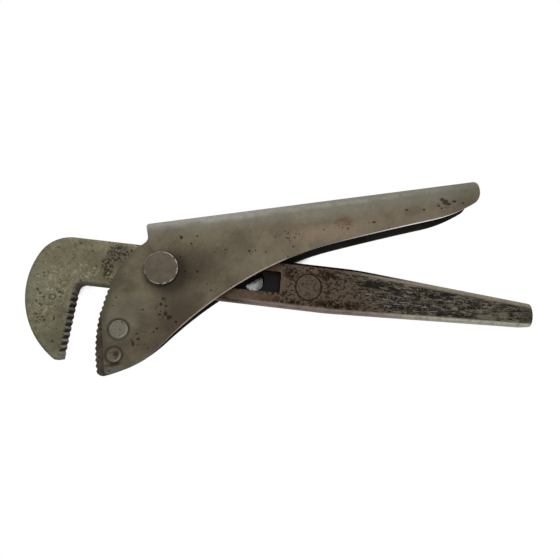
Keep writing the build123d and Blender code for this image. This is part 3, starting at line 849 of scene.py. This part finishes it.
pinLook = {
    "face": (97, 89, 78),
    "mottle": (86, 78, 67),
    "clouds": {"Size": 3.0, "Low": 0.35, "High": 0.65},
    "grain": (0.5, 0.06),
    "side": (60, 53, 45),
    "sideFacing": (0.4, 0.1),
    "headRadius": 6.9,
    # worn metal with a painted highlight on the rim
    "rim": (205, 200, 192),
    "rimWidth": 0.4,
    "rimSoft": 0.1,
    "rimFacing": (0.2, 0.5),
    "rimFade": (-1.1, 0.9, 0.4, 1.0),  # across the head, away from the key light
    "nickNoise": (0.55, 5.0, 0.75),
    "nicks": (0.42, 0.58),
    "fineScale": 1.5,
    "depth": 0.03,
    "roughness": 0.45,
    "metallic": 0.5,
}


def pinMaterial(look):
    material, sheet = newMaterial("pinSteel")
    place, normal, _ = partPlace(sheet)
    clouds = sheet.use(mottle, Vector=place, **look["clouds"])
    color = sheet.mix(clouds, tone(look["face"]), tone(look["mottle"]))
    color = grain(sheet, place, color, *look["grain"])
    color = sheet.mix(sheet.ramp(normal[2], *look["sideFacing"]), color, tone(look["side"]))
    # a bright rim with nicks in it: worn metal with a painted highlight
    edge = look["headRadius"] - look["rimWidth"]
    rim = sheet.ramp(sheet.away(place, (0, 0)), edge - look["rimSoft"], edge + look["rimSoft"])
    rim = sheet.times(rim, sheet.ramp(normal[2], *look["rimFacing"]))
    nicks = sheet.ramp(sheet.noise(place, *look["nickNoise"])["Fac"], *look["nicks"])
    axes = sheet.split(place)
    side = sheet.math("DIVIDE", sheet.less(axes[0], axes[1]), look["headRadius"])
    nicks = sheet.times(nicks, sheet.ramp(side, *look["rimFade"]))
    color = sheet.mix(sheet.times(rim, nicks), color, tone(look["rim"]))
    fine = sheet.noise(place, look["fineScale"])["Fac"]
    surface(sheet, color, look["roughness"], look["metallic"], fine, look["depth"])
    return material


rivetFinish = {
    "grain": (0.8, 0.1),
    "pit": (50, 44, 35),
    "pits": {"Cell": 1.4, "Size": 0.4, "Amount": 0.3},
    "pitAmount": 0.7,
    "dishEdge": (2.0, 0.3, 0.0, 0.85),
    "glintInset": 0.75,
    "glintWidth": (0.5, 0.2),
    "glintSide": (0.3, 1.1),
    "glintAmount": 0.85,
    "rimInset": (0.5, 0.25),
    "rimAmount": 0.85,
    "fineScale": 1.2,
    "depth": 0.08,
    "roughness": 0.5,
    "metallic": 0.5,
}

upperRivetLook = {
    **rivetFinish,
    "place": (-20.09, -21.97),
    "radius": 4.0,
    "face": (111, 107, 94),
    "rim": (62, 57, 46),
    "glint": (138, 134, 117),
}

lowerRivetLook = {
    **rivetFinish,
    "place": (-23.14, -31.9),
    "radius": 3.1,
    "face": (97, 89, 77),
    "rim": (68, 60, 50),
    "glint": (126, 118, 104),
    "dish": (50, 41, 33),
    "dishPlace": (-22.2, -31.6),
}


def rivetMaterial(name, look):
    material, sheet = newMaterial(name)
    place = partPlace(sheet)[0]
    radius = look["radius"]
    away = sheet.away(place, look["place"])
    color = grain(sheet, place, tone(look["face"]), *look["grain"])
    pits = sheet.use(pitSpots, Vector=place, **look["pits"])
    color = sheet.mix(sheet.times(pits, look["pitAmount"]), color, tone(look["pit"]))
    if "dish" in look:
        dish = sheet.ramp(sheet.away(place, look["dishPlace"]), *look["dishEdge"])
        color = sheet.mix(dish, color, tone(look["dish"]))
    # a glint inside the rim, on the side away from the key light
    axes = sheet.split(sheet.vector("SUBTRACT", place, (*look["place"], 0)))
    side = sheet.math("DIVIDE", sheet.less(axes[0], axes[1]), radius)
    glint = sheet.ramp(sheet.gap(away, radius - look["glintInset"]), *look["glintWidth"])
    glint = sheet.times(glint, sheet.ramp(side, *look["glintSide"]))
    color = sheet.mix(sheet.times(glint, look["glintAmount"]), color, tone(look["glint"]))
    start, full = look["rimInset"]
    rim = sheet.ramp(away, radius - start, radius - full, 0.0, look["rimAmount"])
    color = sheet.mix(rim, color, tone(look["rim"]))
    relief = sheet.less(sheet.noise(place, look["fineScale"])["Fac"], pits)
    surface(sheet, color, look["roughness"], look["metallic"], relief, look["depth"])
    return material


ringLook = {
    "face": (112, 110, 105),
    "grain": (0.4, 0.12),
    "fineScale": 3.0,
    "depth": 0.03,
    "roughness": 0.4,
    "metallic": 0.8,
}


def ringMaterial(look):
    material, sheet = newMaterial("springSteel")
    place = partPlace(sheet)[0]
    color = grain(sheet, place, tone(look["face"]), *look["grain"])
    fine = sheet.noise(place, look["fineScale"])["Fac"]
    surface(sheet, color, look["roughness"], look["metallic"], fine, look["depth"])
    return material


def dress(node, material):
    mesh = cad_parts[node].data
    mesh.materials.clear()
    mesh.materials.append(material)


dress("outer_handle", outerMaterial(outerLook))
dress("inner_handle", innerMaterial(innerLook))
dress("jaw_insert", insertMaterial(insertLook))
dress("pivot_pin", pinMaterial(pinLook))
dress("upper_jaw_rivet", rivetMaterial("upperRivetSteel", upperRivetLook))
dress("lower_jaw_rivet", rivetMaterial("lowerRivetSteel", lowerRivetLook))
dress("pin_spring_ring", ringMaterial(ringLook))
print("stage: materials")


def whiteToViewer(sheet, strength):
    # one where the viewer or a mirror image sees the studio, and the strength where it only lights
    path = sheet.add("LightPath").outputs
    seen = sheet.math("ADD", path["Is Camera Ray"], path["Is Glossy Ray"], True)
    seen = sheet.math("ADD", seen, path["Is Transmission Ray"], True)
    return seen, sheet.between(seen, strength, 1.0)


floorLook = {
    "size": 3.0,
    "drop": 0.0002,
    "tone": (216, 201, 190),
    "reach": 0.0125,
    "samples": 16,
    "shade": (0.255, 0.285),
}


def makeFloor(look):
    half = look["size"] / 2
    mesh = bpy.data.meshes.new("studioFloor")
    corners = [(-half, -half, 0), (half, -half, 0), (half, half, 0), (-half, half, 0)]
    mesh.from_pydata(corners, [], [(0, 1, 2, 3)])
    floor = bpy.data.objects.new("studioFloor", mesh)
    bpy.context.scene.collection.objects.link(floor)
    floor.location.z = -look["drop"]
    material, sheet = newMaterial("studioPaper")
    glow = sheet.add("Emission", {"Color": (1, 1, 1), "Strength": 1.0})
    paper = sheet.add("BsdfDiffuse", {"Color": tone(look["tone"])})
    seen, _ = whiteToViewer(sheet, 0.0)
    # only the paper deep under the tool shows its shade
    clear = sheet.add("AmbientOcclusion", {"Distance": look["reach"]}, samples=look["samples"])
    seen = sheet.times(seen, sheet.ramp(clear.outputs["AO"], *look["shade"]))
    both = sheet.add("MixShader", {0: seen, 1: paper.outputs[0], 2: glow.outputs[0]})
    sheet.connect(sheet.add("OutputMaterial").inputs[0], both.outputs[0])
    mesh.materials.append(material)


lights = {
    "worldStrength": 0.25,
    "keyPower": 2.22,
    "keyPlace": (0.02, 0.42, 0.42),
    "keySize": 0.5,
    "fillPower": 0.25,
    "fillPlace": (-0.35, -0.05, 0.45),
    "fillSize": 0.4,
}


def makeWorld(strength):
    world = bpy.data.worlds.new("studio")
    bpy.context.scene.world = world
    world.use_nodes = True
    world.node_tree.nodes.clear()
    sheet = Sheet(world.node_tree)
    _, level = whiteToViewer(sheet, strength)
    sky = sheet.add("Background", {"Color": (1, 1, 1), "Strength": level})
    sheet.connect(sheet.add("OutputWorld").inputs[0], sky.outputs[0])


def viewTurn():
    return Matrix.Rotation(math.radians(layout["viewTurn"]), 3, "Z")


def makeLight(name, place, size, power):
    data = bpy.data.lights.new(name, "AREA")
    data.shape = "DISK"
    data.size = size
    data.energy = power
    lamp = bpy.data.objects.new(name, data)
    bpy.context.scene.collection.objects.link(lamp)
    lamp.location = viewTurn() @ Vector(place)
    lamp.rotation_euler = (-lamp.location).to_track_quat("-Z", "Y").to_euler()


camera = {
    "foot": (19.529, -29.633),
    "height": 198.7816,
    "forward": (0.16422, 0.13820, -0.97669),
    "up": (-0.02291, 0.99040, 0.13628),
    "lens": 27.643,
    "sensor": 36.0,
    "clipStart": 0.01,
}


def makeCamera(values):
    data = bpy.data.cameras.new("camera")
    data.lens = values["lens"]
    data.sensor_width = values["sensor"]
    data.clip_start = values["clipStart"]
    eye = bpy.data.objects.new("camera", data)
    bpy.context.scene.collection.objects.link(eye)
    forward = Vector(values["forward"]).normalized()
    right = forward.cross(Vector(values["up"])).normalized()
    axes = Matrix((right, right.cross(forward), -forward)).transposed()
    foot = viewTurn() @ Vector((*values["foot"], 0)) + Vector((*layout["pivot"], values["height"]))
    eye.matrix_world = Matrix.Translation(foot / layout["perMetre"]) @ (viewTurn() @ axes).to_4x4()
    bpy.context.scene.camera = eye


makeFloor(floorLook)
makeWorld(lights["worldStrength"])
makeLight("keyLight", lights["keyPlace"], lights["keySize"], lights["keyPower"])
makeLight("fillLight", lights["fillPlace"], lights["fillSize"], lights["fillPower"])
makeCamera(camera)
bpy.context.scene.view_settings.view_transform = "Standard"
print("stage: studio")

print("stage: finished")
